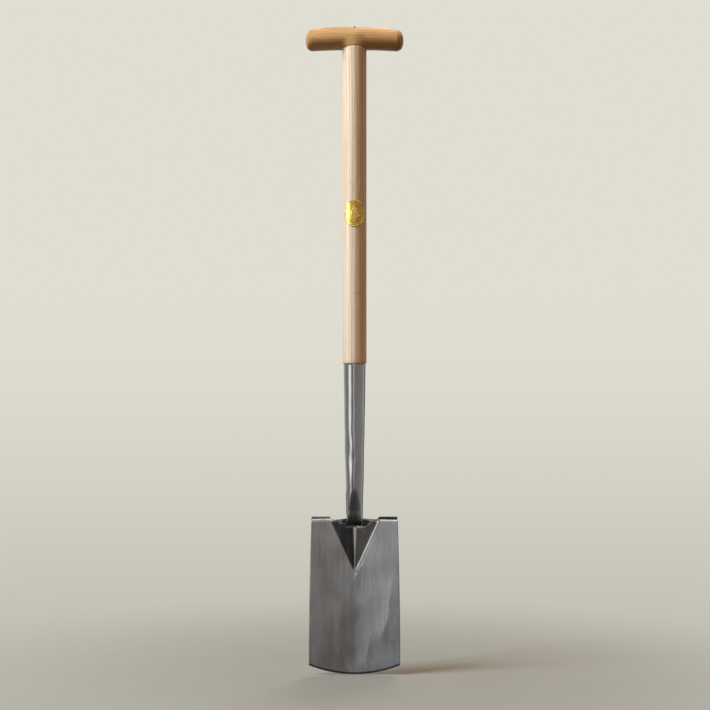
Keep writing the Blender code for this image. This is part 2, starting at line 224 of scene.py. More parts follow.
def blade_columns(z):
    """x of the grid's columns from the centre out, closest together at the gutter's bends."""
    share = max(gutter_width(z) / GUTTER_HALF_WIDTH, 0.2)
    half = GUTTER_HALF_WIDTH * share
    rise = min(z / TREAD_BEND_Z, 1)
    foot = hi("blade").x
    side = foot + (HALF_WIDTH_TOP - foot) * rise**2
    stops = [0, 0.0075 * share, half - 0.006 * share, half + 0.006 * share, side]
    counts = [10, 12, 16, 18]
    columns = [0.0]
    for a, b, count in zip(stops, stops[1:], counts):
        columns += [a + (b - a) * (i + 1) / count for i in range(count)]
    return np.array(columns)


def backward(x, z):
    """Unit (x, y) that points straight back from the sheet at x, level with the ground."""
    step = 0.0004
    slope = (sheet_front(x + step, z) - sheet_front(x - step, z)) / (2 * step)
    length = np.sqrt(1 + slope * slope)
    return -slope / length, 1 / length


def flange(top, share):
    """The sheet past its top row: a tread at each side, and a small rolled lip between them.

    share runs 0 to 1 round the bend and 1 to 2 along the tread's flat.
    """
    x, face_y, face_z = top.T
    tread = smooth_step(TREAD_FROM, TREAD_FULL, np.abs(x))
    radius = LIP_RADIUS + (TREAD_BEND_RADIUS - LIP_RADIUS) * tread
    turn = (LIP_TURN + (math.pi / 2 - TREAD_RISE - LIP_TURN) * tread) * min(share, 1)
    back = radius * (1 - np.cos(turn))
    length = (TREAD_BACK_Y - face_y - back) * tread + 0.0004 * (1 - tread)
    flat = max(share - 1, 0) * length
    start_z = TREAD_BEND_Z + np.tan(TREAD_RISE) * (face_y - BLADE_Y)
    lift = (start_z - face_z) * tread * min(share, 1)
    rise = lift + radius * np.sin(turn) + flat * np.tan(TREAD_RISE)
    back_x, back_y = backward(x, np.full_like(x, RIM_Z))
    toward_x = back_x * (1 - tread)
    toward_y = back_y * (1 - tread) + tread
    reach = back + flat
    return np.stack([x + toward_x * reach, face_y + toward_y * reach, face_z + rise], axis=1)


def blade_grid():
    """Front-face points, rows from the cutting edge up, over the top and back along the treads."""
    plain = np.linspace(GROUND_EDGE, GUTTER_TIP_Z - 0.012, 34)
    gutter = np.linspace(GUTTER_TIP_Z - 0.010, RIM_Z, 58)
    heights = np.concatenate([[0.0, 0.0016, GROUND_EDGE * 0.5], plain, gutter])
    rows = []
    for height in heights:
        half = blade_columns(height)
        x = np.concatenate([-half[:0:-1], half])
        arc_z = EDGE_ARC_RADIUS - np.sqrt(EDGE_ARC_RADIUS**2 - x * x)
        z = height + arc_z * (1 - height / RIM_Z)
        rows.append(np.stack([x, sheet_front(x, z), z], axis=1))
    top = rows[-1]
    bend = [i / 10 for i in range(1, 11)]
    flat = [1.25, 1.5, 1.75, 2.0]
    rows += [flange(top, share) for share in bend + flat]
    return np.array(rows)


def hand_ground(points):
    """Slight waviness of hand-ground sheet, none in the gutter, and a stoned lip at the cutting edge."""
    x, z = points[..., 0], points[..., 2]
    wave = np.sin(38 * x + 21 * z + 0.6) * np.sin(27 * z - 33 * x + 1.1)
    wave += 0.6 * np.sin(71 * x - 46 * z + 2.0) * np.sin(55 * z + 29 * x)
    beside = smooth_step(0.0, 0.012, np.abs(x) - np.maximum(gutter_width(z), 0))
    inside = smooth_step(0.0, 0.03, z) * (1 - smooth_step(0.225, 0.250, z))
    below = 1 - smooth_step(0.130, 0.165, z)
    points[..., 1] += 0.00012 * wave * inside * np.maximum(beside, below)
    points[0, :, 1] += STONED
    return points


def build_blade(material):
    points = hand_ground(blade_grid())
    rows, columns, _ = points.shape
    obj = new_piece(
        "blade_sheet", "blade", points.reshape(-1, 3),
        grid_faces(rows, columns), material,
    )
    stock = obj.vertex_groups.new(name="stock")
    for row, share in enumerate([0.0, 0.2, 0.5]):
        stock.add(list(range(row * columns, (row + 1) * columns)), share, "REPLACE")
    stock.add(list(range(3 * columns, rows * columns)), 1.0, "REPLACE")
    sheet = obj.modifiers.new("sheet", "SOLIDIFY")
    sheet.thickness = SHEET
    sheet.offset = -1
    sheet.use_even_offset = True
    sheet.vertex_group = stock.name
    sheet.thickness_vertex_group = EDGE_THICKNESS
    edges = obj.modifiers.new("worn_edges", "BEVEL")
    edges.width = 0.0005
    edges.segments = 2
    edges.limit_method = "ANGLE"
    edges.angle_limit = math.radians(50)
    edges.harden_normals = False
    return obj


# ---------------------------------------------------------------- socket


def socket_radius(z):
    """The socket's outside: a slow taper to the waist, a quicker one to the neck, hand-polished."""
    mouth_z, mouth = hi("socket").z, hi("socket").x
    slow = WAIST_RADIUS + (mouth - WAIST_RADIUS) * (z - WAIST_Z) / (mouth_z - WAIST_Z)
    quick = WAIST_RADIUS + (NECK_RADIUS - WAIST_RADIUS) * (WAIST_Z - z) / (WAIST_Z - NECK_Z)
    radius = smooth_min(slow, quick, 0.0012)
    return np.maximum(radius, NECK_RADIUS)


def polish_wobble(angle, z):
    """Shallow flats that hand polishing leaves along the tube."""
    wave = np.sin(3 * angle + 26 * z) * np.sin(61 * z + 0.8)
    wave += 0.5 * np.sin(5 * angle - 43 * z) * np.sin(97 * z + 1.9)
    fade = smooth_step(0.262, 0.300, z) * (1 - smooth_step(0.500, 0.520, z))
    strong = 1 + 2.4 * np.exp(-(((z - 0.365) / 0.050) ** 2))
    return 0.00010 * wave * fade * strong


def nose_distance(x, y, z):
    """Signed distance, roughly, to the tube with the front of its lower end ground away.

    Behind the axis its sides run straight back, so that the gutter's walls can cut them off.
    """
    radius = socket_radius(z)
    tube = np.hypot(x, np.minimum(y, 0)) - radius
    ahead = (NOSE_DEPTH - radius - y) / NOSE_DEPTH
    below = np.maximum(NECK_Z - z, 0) / NOSE_HEIGHT
    face = NOSE_HEIGHT * (np.sqrt(ahead * ahead + below * below) - 1)
    run_in = NOSE_RUN_IN * np.maximum(NOSE_START_Z - z, 0) ** 2
    shave = -radius + run_in - y
    started = smooth_step(0.0, 0.050, NOSE_START_Z - z)
    ground = smooth_max(face, shave, 0.00001 + 0.002 * started)
    return smooth_max(tube, ground, 0.00001 + 0.0044 * started)


def front_of(distance, x, far):
    """y of the first point inside a shape, coming from the front, found by halving."""
    near = np.full_like(x, -0.03)
    for _ in range(40):
        middle = (near + far) / 2
        outside = distance(middle) > 0
        near = np.where(outside, middle, near)
        far = np.where(outside, far, middle)
    return far


def socket_ring(z, radius, columns, ground):
    """One level of the tube: its front half from left to right, then its back half."""
    front, back = columns
    angle = np.concatenate([np.linspace(-90, 90, front), np.linspace(90, 270, back + 2)[1:-1]])
    turn = np.radians(angle)
    level = np.full_like(turn, z)
    reach = radius + polish_wobble(turn, level)
    ring = np.stack([reach * np.sin(turn), -reach * np.cos(turn), level], axis=1)
    if ground:
        x, level = radius * np.sin(turn[:front]), level[:front]
        face = front_of(lambda y: nose_distance(x, y, level), x, 0 * x)
        ring[:front, 1] += face + radius * np.cos(turn[:front])
    return ring


def socket_foot(z, columns):
    """One level below the gutter's rim: the ground front, and a back that lies inside the sheet."""
    front, back = columns
    front_x = NECK_RADIUS * np.sin(np.radians(np.linspace(-90, 90, front)))
    back_x = NECK_RADIUS * np.linspace(1, -1, back + 2)[1:-1]
    front_z, back_z = np.full_like(front_x, z), np.full_like(back_x, z)
    sunk = sheet_front(front_x, front_z) + 0.25 * SHEET
    front_y = front_of(lambda y: nose_distance(front_x, y, front_z), front_x, sunk)
    back_y = sheet_front(back_x, back_z) + 0.65 * SHEET
    ahead = np.stack([front_x, front_y, front_z], axis=1)
    behind = np.stack([back_x, back_y, back_z], axis=1)
    return np.concatenate([ahead, behind])


def build_socket(material):
    """Rings round the tube down to the gutter's rim, then a ground face that runs into the gutter."""
    columns = (81, 40)
    count = sum(columns)
    mouth_z = hi("socket").z
    mouth = float(socket_radius(mouth_z))
    wall, lip = 0.0020, 0.0006
    rings = [
        socket_ring(mouth_z - drop, mouth - inset, columns, False)
        for drop, inset in [
            (0.012, wall), (lip / 2, wall), (0, 0.7 * wall), (0, lip), (0.3 * lip, 0.3 * lip),
        ]
    ]
    for z in np.linspace(mouth_z - lip, NOSE_START_Z + 0.0005, 120):
        rings.append(socket_ring(float(z), float(socket_radius(z)), columns, False))
    for z in np.linspace(NOSE_START_Z - 0.0005, RIM_Z + 0.0004, 70):
        rings.append(socket_ring(float(z), float(socket_radius(z)), columns, True))
    rings += [socket_foot(float(z), columns) for z in np.linspace(RIM_Z, NECK_Z - NOSE_HEIGHT, 40)]
    faces = [tuple(reversed(face)) for face in grid_faces(len(rings), count, 0, True)]
    faces.append(tuple(range(count)))
    faces.append(tuple(reversed(range((len(rings) - 1) * count, len(rings) * count))))
    obj = new_piece(
        "socket_tube", "socket", np.concatenate(rings), faces, material
    )
    sharpen(obj, 50)
    return obj


def weld_path():
    """(x, y, z, thickness) along the bead, from one wall's rim round the tube to the other's."""
    rim = []
    for x in np.linspace(-WELD_END_X, -NECK_RADIUS, 10):
        y = float(sheet_front(np.array(x), RIM_Z)) + 0.0016
        share = (x + WELD_END_X) / (WELD_END_X - NECK_RADIUS)
        rim.append((x, y, RIM_Z + 0.0016, 0.25 + 0.75 * share))
    reach = NECK_RADIUS + 0.0012
    back = []
    for turn in np.radians(np.linspace(-58, 58, 25)):
        back.append((reach * math.sin(turn), reach * math.cos(turn), RIM_Z + 0.0020, 1.0))
    return rim + back + [(-x, y, z, size) for x, y, z, size in reversed(rim)]


def build_weld(material):
    """The bead on the gutter's rim: thin along each wall, full round the back of the socket."""
    path = np.array(weld_path())
    for _ in range(4):
        path[1:-1] = (path[:-2] + path[1:-1] + path[2:]) / 3
    steps = 14
    up = Vector((0, 0, 1))
    rings = []
    for i, (x, y, z, size) in enumerate(path):
        ahead = Vector(path[min(i + 1, len(path) - 1)][:3]) - Vector(path[max(i - 1, 0)][:3])
        side = ahead.cross(up).normalized()
        radius = WELD_RADIUS * size * (1 + 0.06 * math.sin(2.1 * i))
        for k in range(steps):
            turn = 2 * math.pi * k / steps
            offset = side * math.cos(turn) + up * math.sin(turn)
            rings.append(Vector((x, y, z)) + offset * radius)
    faces = [tuple(reversed(face)) for face in grid_faces(len(path), steps, 0, True)]
    faces.append(tuple(range(steps)))
    faces.append(tuple(reversed(range((len(path) - 1) * steps, len(path) * steps))))
    return new_piece("weld_bead", "socket_weld", rings, faces, material)


def build_rivet(material):
    """Domed head and shank of the rivet at the back of the socket."""
    low, high = NODE_BOXES["socket_rivet"]
    head_radius = (high.z - low.z) / 2
    centre_z = (high.z + low.z) / 2
    seat_y = float(socket_radius((high.z + low.z) / 2))
    head = high.y - seat_y
    profile = arc(0, 0, head_radius * 0.9, head, 90, 24, 10)
    profile += arc(head_radius - 0.0004, 0.0003, 0.0004, 0.0005, 60, -60, 4)
    profile += [(head_radius * 0.5, -0.0006), (head_radius * 0.5, -0.012), (0, -0.012)]
    verts, faces = turned(profile, 40)
    verts = [(x, z + seat_y, centre_z - y) for x, y, z in verts]
    return new_piece("rivet", "socket_rivet", verts, faces, material)


# ---------------------------------------------------------------- wood


def grip_arch(x):
    return GRIP_DROP * (x / hi("t_grip").x) ** 2


def grip_surface(x, radius, turn):
    """Distance from the bar's axis to the grip's skin, turn measured from +Y towards +Z."""
    near = np.zeros_like(turn)
    far = np.full_like(turn, 0.04)
    for _ in range(40):
        middle = (near + far) / 2
        y, z = middle * np.cos(turn), GRIP_Z - grip_arch(x) + middle * np.sin(turn)
        width = COLLAR_RADIUS - COLLAR_TAPER * smooth_step(COLLAR_LOW, COLLAR_TAPER_TOP, z)
        collar = smooth_max(np.sqrt(x * x + y * y) - width, COLLAR_LOW - z, 0.0012)
        collar = smooth_max(collar, z - COLLAR_HIGH, 0.006)
        inside = smooth_min(middle - radius, collar, COLLAR_BLEND) < 0
        near = np.where(inside, middle, near)
        far = np.where(inside, far, middle)
    return near


def ring_turns(x):
    """Angles round the bar, one of them always through the collar's lower edge, in radians."""
    reach = min(abs(x), 0.015)
    below = COLLAR_LOW - (GRIP_Z - grip_arch(x))
    edge = math.degrees(math.atan2(below, math.sqrt(COLLAR_RADIUS**2 - reach**2)))
    edge += (-40 - edge) * float(smooth_step(0.015, 0.045, abs(x)))
    upper = np.linspace(90, edge + 5, 30)
    lower = np.linspace(edge - 5, -90, 16)
    right = np.concatenate([upper, edge + np.array([2.6, 1.2, 0, -1.2, -2.6]), lower])
    left = 180 - right[-2:0:-1]
    return np.radians(np.concatenate([right, left]))


def grip_stations():
    """(radius, x) along the bar from one end's face to the other's."""
    arm = np.concatenate([np.linspace(0, 0.032, 44), np.linspace(0.034, GRIP_ROUND_START, 26)])
    outline = [
        (GRIP_RADIUS + (GRIP_END_RADIUS - GRIP_RADIUS) * (x / GRIP_ROUND_START) ** 2, x)
        for x in arm
    ]
    outline += arc(
        GRIP_FACE_RADIUS, GRIP_ROUND_START, GRIP_END_RADIUS - GRIP_FACE_RADIUS,
        GRIP_FACE_START - GRIP_ROUND_START, 0, 90, 6,
    )[1:]
    bulge = hi("t_grip").x - GRIP_FACE_START
    outline += arc(0, GRIP_FACE_START, GRIP_FACE_RADIUS, bulge, 0, 90, 26)[1:-1]
    return [(radius, -x) for radius, x in reversed(outline)] + outline[1:]


def cut(obj, verts, faces):
    """Cuts a closed mesh out of the piece."""
    mesh = bpy.data.meshes.new("cutter")
    mesh.from_pydata(verts, [], faces)
    cutter = bpy.data.objects.new("cutter", mesh)
    bpy.context.scene.collection.objects.link(cutter)
    modifier = obj.modifiers.new("cut", "BOOLEAN")
    modifier.operation = "DIFFERENCE"
    modifier.object = cutter
    modifier.solver = "EXACT"
    graph = bpy.context.evaluated_depsgraph_get()
    obj.data = bpy.data.meshes.new_from_object(obj.evaluated_get(graph))
    obj.modifiers.clear()
    bpy.data.objects.remove(cutter, do_unlink=True)


def build_grip(material):
    """The bar's outline turned about its arched axis, swelling into the collar at its middle."""
    tip = hi("t_grip").x
    stations = grip_stations()
    verts = [(-tip, 0, GRIP_Z - grip_arch(tip))]
    for radius, x in stations:
        turns = ring_turns(x)
        reach = grip_surface(x, radius, turns) if abs(x) < 0.045 else 0 * turns + radius
        centre_z = GRIP_Z - grip_arch(x)
        y, z = reach * np.cos(turns), centre_z + reach * np.sin(turns)
        verts += list(zip(np.full_like(y, x), y, z))
    verts.append((tip, 0, GRIP_Z - grip_arch(tip)))
    steps = len(ring_turns(0))
    last = len(verts) - 1
    base = last - steps
    faces = [(0, 1 + i, 1 + (i + 1) % steps) for i in range(steps)]
    faces += [tuple(reversed(face)) for face in grid_faces(len(stations), steps, 1, True)]
    faces += [(last, base + (i + 1) % steps, base + i) for i in range(steps)]
    obj = new_piece("grip", "t_grip", verts, faces, material)
    clear = 0.00008
    bore = TENON_RADIUS + clear
    seat = hi("shaft").x + clear
    above, below = hi("t_grip").z + 0.1, COLLAR_LOW - 0.03
    profile = [(0, above), (bore, above), (bore, COLLAR_LOW)]
    profile += [(seat, COLLAR_LOW), (seat, below), (0, below)]
    cut(obj, *turned(profile, 128))
    obj.data.shade_smooth()
    sharpen(obj, 45)
    return obj


def bar_top(x, y):
    """Height of the bar's round top."""
    return GRIP_Z - grip_arch(x) + math.sqrt(GRIP_RADIUS**2 - y * y)


def build_tenon_end(material):
    """The shaft's end grain, flush in the top of the grip."""
    rings, steps = 9, 72
    verts = [(0, 0, bar_top(0, 0) + 0.00005)]
    for i in range(1, rings + 1):
        radius = TENON_RADIUS * i / rings
        for k in range(steps):
            turn = 2 * math.pi * k / steps
            x, y = radius * math.cos(turn), radius * math.sin(turn)
            verts.append((x, y, bar_top(x, y) + 0.00005))
    for k in range(steps):
        x, y, z = verts[1 + (rings - 1) * steps + k]
        verts.append((x, y, z - 0.006))
    verts.append((0, 0, bar_top(0, TENON_RADIUS) - 0.008))
    last = len(verts) - 1
    faces = [(0, 1 + i, 1 + (i + 1) % steps) for i in range(steps)]
    faces += [tuple(reversed(f)) for f in grid_faces(rings + 1, steps, 1, True)]
    base = 1 + rings * steps
    faces += [(last, base + (i + 1) % steps, base + i) for i in range(steps)]
    obj = new_piece("shaft_tenon_end", "shaft", verts, faces, material)
    sharpen(obj, 50)
    return obj


def build_wedge(material):
    """The hardwood slip across the tenon, its top worked to the grip's round."""
    low, high = NODE_BOXES["grip_wedge"]
    cells = 24
    rows = []
    for i in range(cells + 1):
        y = low.y + (high.y - low.y) * i / cells
        top = bar_top(0, y) + 0.00012
        bottom = top - 0.012
        rows.append([(low.x, y, bottom), (low.x, y, top), (high.x, y, top), (high.x, y, bottom)])
    verts = [v for row in rows for v in row]
    faces = grid_faces(len(rows), 4, 0, True)
    faces.append((3, 2, 1, 0))
    faces.append(tuple(range(4 * cells, 4 * cells + 4)))
    obj = new_piece("wedge", "grip_wedge", verts, faces, material)
    edge = obj.modifiers.new("soft_edge", "BEVEL")
    edge.width = 0.00025
    edge.segments = 2
    edge.limit_method = "ANGLE"
    edge.angle_limit = math.radians(50)
    return obj


def build_shaft(material):
    """The round shaft, rounded over where it sits on the socket, with a stub of each tenon."""
    radius = hi("shaft").x
    low = hi("socket").z + 0.0003
    top = COLLAR_LOW - 0.0001
    edge, chamfer = 0.0022, 0.0004
    upper_stub, lower_stub = top + 0.004, low - 0.010
    profile = [(0, upper_stub), (0.0125, upper_stub), (0.0125, top), (radius - chamfer, top)]
    profile += [(radius, z) for z in np.linspace(top - chamfer, low + edge + 0.002, 160)]
    profile += arc(radius - edge, low + edge, edge, edge, 0, -90, 8)
    profile += [(0.0160, low), (0.0156, lower_stub), (0, lower_stub)]
    verts, faces = turned(profile, 128)
    obj = new_piece("shaft_round", "shaft", verts, faces, material)
    sharpen(obj, 50)
    return obj


# ---------------------------------------------------------------- badge


def leaf(u, v, base, length, width, lean):
    """Height, 0 to 1, of a pointed leaf with a midrib. It starts at base and leans by an angle."""
    du, dv = u - base[0], v - base[1]
    along = (du * math.sin(lean) + dv * math.cos(lean)) / length
    across = du * math.cos(lean) - dv * math.sin(lean)
    half = width * np.sin(math.pi * np.clip(along, 0, 1)) ** 0.8 + 1e-6
    body = np.clip(1 - (across / half) ** 2, 0, 1) ** 0.5
    rib = 0.35 * np.exp(-((across / 0.018) ** 2))
    return np.where((along > 0) & (along < 1), np.clip(body - rib, 0, 1), 0)


def badge_height(u, v):
    """Metres that the badge's face stands above its field. u and v run -1 to 1 over the oval."""
    r = np.hypot(u, v)
    rim = smooth_step(0.90, 0.93, r) * (1 - 0.8 * smooth_step(0.975, 1.0, r))
    turn = np.arctan2(v, u)
    bead = np.abs(np.sin(21 * turn)) ** 1.5 * np.exp(-(((r - 0.81) / 0.032) ** 2))
    sprig = np.exp(-(((u - 0.05 * np.sin(3 * v)) / 0.03) ** 2)) * (np.abs(v) < 0.56)
    sprig = np.maximum(sprig, leaf(u, v, (0, 0.22), 0.46, 0.13, 0.0))
    for side in (-1, 1):
        for step in range(4):
            base = (0.02 * side, -0.44 + 0.20 * step)
            length, width = 0.52 - 0.07 * step, 0.115 - 0.012 * step
            sprig = np.maximum(sprig, leaf(u, v, base, length, width, side * (1.02 - 0.09 * step)))
    lug = smooth_step(0.13, 0.09, np.hypot(np.abs(u) - 0.885, v * 1.25))
    raised = RIM_RELIEF * rim + BEAD_RELIEF * bead + SPRIG_RELIEF * sprig
    return raised * (1 - lug) + LUG_RELIEF * lug


def build_badge(material):
    """An oval plate bent round the shaft: a rim, a ring of beads and a leafy sprig in relief."""
    low, high = NODE_BOXES["badge"]
    middle_z, half_height = (low.z + high.z) / 2, (high.z - low.z) / 2
    inner = hi("shaft").x + 0.00003
    rings, steps = 88, 252
    turns = np.arange(steps) * 2 * math.pi / steps
    radii = np.linspace(0, 1, rings + 1)[1:] ** 0.9

    def on_shaft(u, v, radius):
        angle = BADGE_HALF_ANGLE * u
        z = middle_z + half_height * v
        return np.stack([radius * np.sin(angle), -radius * np.cos(angle), z], axis=1)

    field = inner + 0.00050
    verts = [on_shaft(np.zeros(1), np.zeros(1), field + badge_height(np.zeros(1), np.zeros(1)))]
    for r in radii:
        u, v = r * np.cos(turns), r * np.sin(turns)
        verts.append(on_shaft(u, v, field + badge_height(u, v)))
    edge_u, edge_v = np.cos(turns), np.sin(turns)
    verts.append(on_shaft(edge_u, edge_v, np.full(steps, inner)))
    verts.append(on_shaft(0.9 * edge_u, 0.9 * edge_v, np.full(steps, inner)))
    verts = np.concatenate(verts)
    faces = [(0, 1 + i, 1 + (i + 1) % steps) for i in range(steps)]
    faces += [tuple(reversed(face)) for face in grid_faces(rings + 2, steps, 1, True)]
    base = 1 + (rings + 1) * steps
    faces.append(tuple(base + (steps - i) % steps for i in range(steps)))
    obj = new_piece("badge_plate", "badge", verts, faces, material)
    sharpen(obj, 60)
    return obj


def build_badge_pin(name, node, angle, material):
    """A small domed pin head on the badge's edge."""
    low, high = NODE_BOXES[node]
    middle_z = (low.z + high.z) / 2
    seat = hi("shaft").x + 0.00068
    radius, height = 0.00115, 0.00062
    profile = arc(0, 0, radius * 0.92, height, 90, 20, 8)
    profile += arc(radius - 0.00015, 0.0, 0.00015, 0.0002, 50, -90, 4)
    profile += [(0.0006, -0.0002), (0.0006, -0.004), (0, -0.004)]
    verts, faces = turned(profile, 32)
    outward = Vector((math.sin(angle), -math.cos(angle), 0))
    across = Vector((math.cos(angle), math.sin(angle), 0))
    verts = [
        outward * (seat + z) + across * x + Vector((0, 0, middle_z + y)) for x, y, z in verts
    ]
    return new_piece(name, node, verts, faces, material)


# ---------------------------------------------------------------- materials


class Graph:
    """A node tree with short ways to add to it. A socket or a plain value can go into any input."""

    def __init__(self, tree):
        self.tree = tree

    def put(self, target, value):
        if isinstance(value, bpy.types.NodeSocket):
            self.tree.links.new(value, target)
        else:
            target.default_value = value

    def node(self, kind, inputs, **settings):
        made = self.tree.nodes.new(kind)
        for key, value in settings.items():
            setattr(made, key, value)
        for key, value in inputs.items():
            self.put(made.inputs[key], value)
        return made

    def math(self, operation, a, b=0.0, clamp=False):
        made = self.node("ShaderNodeMath", {0: a, 1: b}, operation=operation, use_clamp=clamp)
        return made.outputs[0]

    def mix(self, share, a, b, blend="MIX"):
        made = self.node(
            "ShaderNodeMix", {0: share}, data_type="RGBA", blend_type=blend, clamp_result=False
        )
        self.put(made.inputs[6], (*a, 1.0) if isinstance(a, tuple) else a)
        self.put(made.inputs[7], (*b, 1.0) if isinstance(b, tuple) else b)
        return made.outputs[2]

    def span(self, value, low, high, start=0.0, end=1.0):
        """value from low..high to start..end, eased and clamped."""
        inputs = {0: value, 1: low, 2: high, 3: start, 4: end}
        made = self.node("ShaderNodeMapRange", inputs, interpolation_type="SMOOTHSTEP")
        return made.outputs[0]

    def hypot(self, a, b):
        squares = self.math("ADD", self.math("MULTIPLY", a, a), self.math("MULTIPLY", b, b))
        return self.math("SQRT", squares)

    def place(self):
        """The surface point, in metres."""
        return self.node("ShaderNodeTexCoord", {}).outputs["Object"]

    def axes(self, vector):
        """x, y and z of a vector."""
        return self.node("ShaderNodeSeparateXYZ", {0: vector}).outputs

    def noise(self, vector, scale, detail=3.0, roughness=0.5, distortion=0.0):
        """Noise, 0 to 1, with its own number of cells a metre along each axis."""
        sized = self.node(
            "ShaderNodeVectorMath", {0: vector, 1: scale}, operation="MULTIPLY"
        ).outputs[0]
        inputs = {"Vector": sized, "Scale": 1.0, "Detail": detail, "Roughness": roughness}
        made = self.node("ShaderNodeTexNoise", {**inputs, "Distortion": distortion})
        return made.outputs[0]

    def ramp(self, value, stops):
        made = self.node("ShaderNodeValToRGB", {0: value})
        elements = made.color_ramp.elements
        while len(elements) < len(stops):
            elements.new(0.5)
        for element, (position, colour) in zip(elements, stops):
            element.position = position
            element.color = (*colour, 1.0)
        return made.outputs[0]

    def bump(self, height, distance, strength=1.0):
        inputs = {"Height": height, "Distance": distance, "Strength": strength}
        return self.node("ShaderNodeBump", inputs).outputs[0]


def new_material(name, preview):
    made = bpy.data.materials.new(name)
    made.use_nodes = True
    made.diffuse_color = (*preview, 1.0)
    return made, Graph(made.node_tree), made.node_tree.nodes["Principled BSDF"].inputs


def ash():
    """Pale straight-grained ash under thin oil: growth rings, pores and a small knot."""
    made, g, shader = new_material("oiled_ash", (0.74, 0.55, 0.36))
    pith_at, rings_per_metre = (-0.055, 0.075), 270.0
    knot_x, knot_z, knot_squash = 0.0065, 0.6415, 2.4
    place = g.place()
    x, y, z = g.axes(place)
    drift = g.noise(place, (14, 14, 1.6), 2.0)
    wander = g.math("MULTIPLY", g.math("SUBTRACT", drift, 0.5), 0.012)
    pith_x = g.math("ADD", g.math("SUBTRACT", x, pith_at[0]), wander)
    radius = g.hypot(pith_x, g.math("SUBTRACT", y, pith_at[1]))
    ring = g.math("FRACT", g.math("MULTIPLY", radius, rings_per_metre))
    late = g.math("POWER", ring, 2.6)
    streak = g.noise(place, (620, 620, 5), 3.0, 0.6)
    broad = g.noise(place, (95, 95, 1.2), 2.0)
    pores = g.noise(place, (1500, 1500, 42), 2.0, 0.5)
    pore = g.span(pores, 0.60, 0.72)
    tone = g.mix(g.span(broad, 0.35, 0.66), (0.88, 0.745, 0.585), (0.81, 0.635, 0.46))
    tone = g.mix(g.math("MULTIPLY", late, 0.80), tone, (0.52, 0.31, 0.16))
    tone = g.mix(g.math("MULTIPLY", g.span(streak, 0.48, 0.62), 0.52), tone, (0.52, 0.32, 0.17))
    early = g.math("MULTIPLY", pore, g.math("SUBTRACT", 1.0, late))
    tone = g.mix(g.math("MULTIPLY", early, 0.60), tone, (0.34, 0.18, 0.085))
    up = g.math("MULTIPLY", g.math("SUBTRACT", z, knot_z), knot_squash)
    knot = g.hypot(up, g.math("SUBTRACT", x, knot_x))
    front = g.span(y, 0.0, -0.012)
    knot = g.math("MULTIPLY", g.span(knot, 0.0095, 0.0030), front)
    tone = g.mix(g.math("MULTIPLY", knot, 0.35), tone, (0.52, 0.27, 0.13))
    # Painted shade on the rounded edge just above the socket's mouth; the tenon's end grain darker.
    mouth = hi("socket").z
    end = g.math("MAXIMUM", g.span(z, mouth + 0.010, mouth), g.span(z, 1.070, 1.085))
    tone = g.mix(g.math("MULTIPLY", end, 0.45), tone, (0.56, 0.30, 0.12))
    g.put(shader["Base Color"], tone)
    g.put(shader["Roughness"], g.span(streak, 0.3, 0.7, 0.36, 0.50))
    relief = g.math("ADD", g.math("MULTIPLY", streak, 0.6), g.math("MULTIPLY", pore, -0.8))
    g.put(shader["Normal"], g.bump(relief, 0.00006))
    shader["Coat Weight"].default_value = 0.4
    shader["Coat Roughness"].default_value = 0.38
    return made


def cherry():
    """Orange-tan cherry under satin lacquer, its grain along the bar."""
    made, g, shader = new_material("lacquered_cherry", (0.55, 0.30, 0.12))
    pith_y, pith_z, rings_per_metre = -0.022, 1.115, 230.0
    place = g.place()
    x, y, z = g.axes(place)
    drift = g.noise(place, (5, 26, 26), 2.0)
    wander = g.math("MULTIPLY", g.math("SUBTRACT", drift, 0.5), 0.016)
    rise = g.math("ADD", g.math("SUBTRACT", z, pith_z), wander)
    radius = g.hypot(rise, g.math("SUBTRACT", y, pith_y))
    ring = g.math("FRACT", g.math("MULTIPLY", radius, rings_per_metre))
    late = g.math("POWER", ring, 2.0)
    fibre = g.noise(place, (16, 800, 800), 3.0, 0.6)
    broad = g.noise(place, (9, 70, 70), 2.0)
    fleck = g.noise(place, (70, 1200, 1200), 2.0)
    tone = g.mix(g.span(broad, 0.33, 0.68), (0.76, 0.49, 0.22), (0.63, 0.385, 0.16))
    tone = g.mix(g.math("MULTIPLY", late, 0.45), tone, (0.38, 0.17, 0.055))
    tone = g.mix(g.math("MULTIPLY", g.span(fibre, 0.45, 0.72), 0.40), tone, (0.36, 0.17, 0.06))
    tone = g.mix(g.math("MULTIPLY", g.span(fleck, 0.62, 0.72), 0.35), tone, (0.22, 0.10, 0.04))
    ends = g.span(g.math("ABSOLUTE", x), GRIP_FACE_START - 0.004, GRIP_FACE_START + 0.001)
    tone = g.mix(g.math("MULTIPLY", ends, 0.35), tone, (0.30, 0.135, 0.05))
    g.put(shader["Base Color"], tone)
    g.put(shader["Roughness"], g.span(fibre, 0.3, 0.7, 0.33, 0.46))
    g.put(shader["Normal"], g.bump(fibre, 0.00004))
    shader["Coat Weight"].default_value = 0.35
    shader["Coat Roughness"].default_value = 0.20
    return made


def dark_hardwood():
    """End grain of the walnut wedge."""
    made, g, shader = new_material("walnut_end_grain", (0.12, 0.065, 0.035))
    place = g.place()
    cells = g.noise(place, (2600, 900, 900), 3.0, 0.65)
    bands = g.noise(place, (240, 520, 60), 2.0)
    tone = g.mix(g.span(cells, 0.35, 0.65), (0.15, 0.080, 0.042), (0.050, 0.027, 0.016))
    tone = g.mix(g.math("MULTIPLY", g.span(bands, 0.4, 0.7), 0.5), tone, (0.19, 0.10, 0.05))
    g.put(shader["Base Color"], tone)
    g.put(shader["Roughness"], g.span(cells, 0.3, 0.7, 0.38, 0.60))
    g.put(shader["Normal"], g.bump(cells, 0.00005))
    return made


